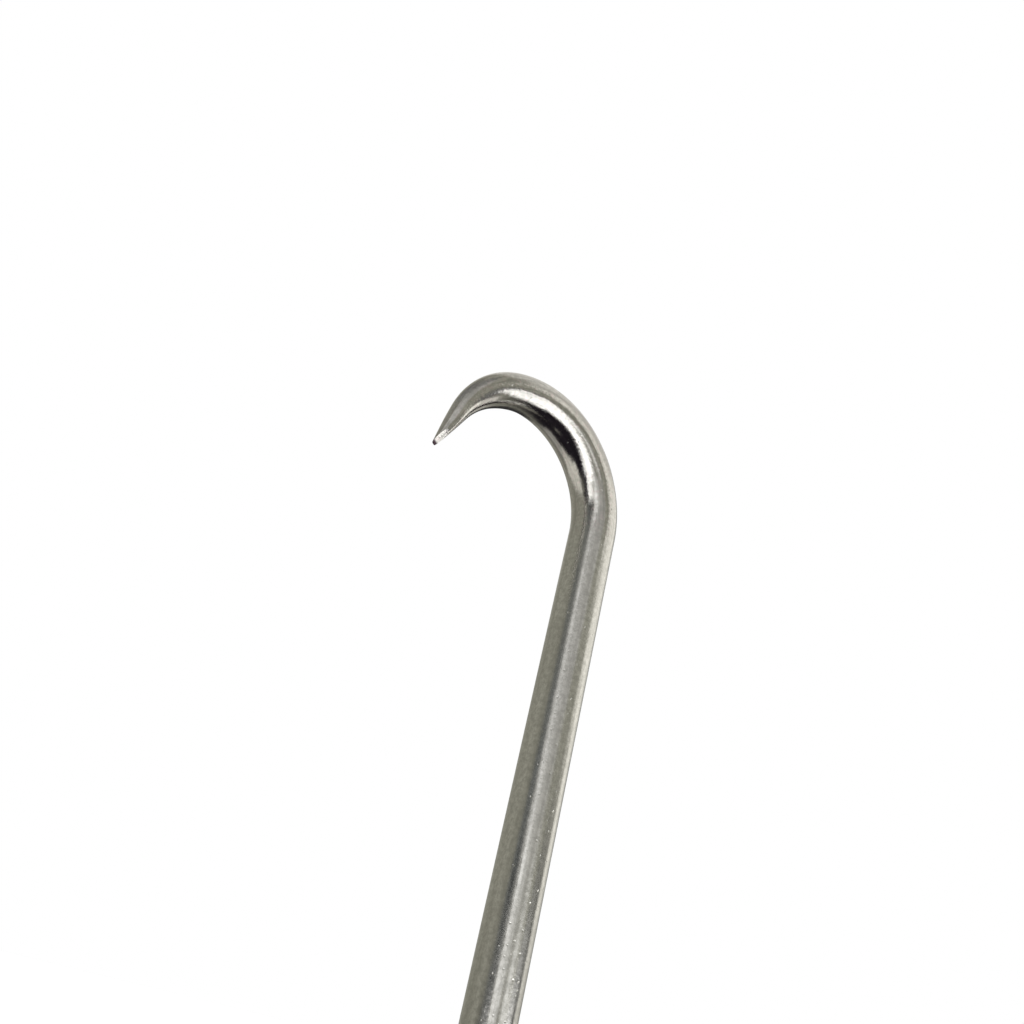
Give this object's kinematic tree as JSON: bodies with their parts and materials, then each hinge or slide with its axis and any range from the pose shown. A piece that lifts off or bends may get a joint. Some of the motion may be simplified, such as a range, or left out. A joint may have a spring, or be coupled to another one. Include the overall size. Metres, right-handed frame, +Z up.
{
  "type": "hand-held meat hook",
  "caption": "Hand-held meat hook: a round steel bar bent and ground to a point, fixed through a turned wooden T-grip by a collar, a cross pin and a sunk nut.",
  "frame": {"origin": "middle of the planed flat on the palm side of the grip, which the hook stands on; the bar's axis goes through it", "axes": "+Z up the shank, from the palm flat to the bend; the hook opens towards -X and its bend lies in the XZ plane; the grip's bar lies along X"},
  "size_m": [0.104, 0.03, 0.1347],
  "materials": {
    "hook_steel": "stainless bar, satin and drawn lengthwise on the shank, polished round the bend, dark at the ground point",
    "collar_steel": "turned stainless steel, fine rings from the lathe",
    "fastener_steel": "plain stainless steel, dull",
    "grip_wood": "oiled hardwood, turned, grain along the grip",
    "plug_wood": "oiled hardwood, end grain"
  },
  "bodies": {
    "root": {"hook_rod": "hook_steel", "shank_collar": "collar_steel", "wooden_grip": "grip_wood", "palm_washer": "fastener_steel", "lock_washer": "fastener_steel", "palm_nut": "fastener_steel", "palm_plug": "plug_wood", "cross_pin": "fastener_steel"}
  },
  "joints": []
}
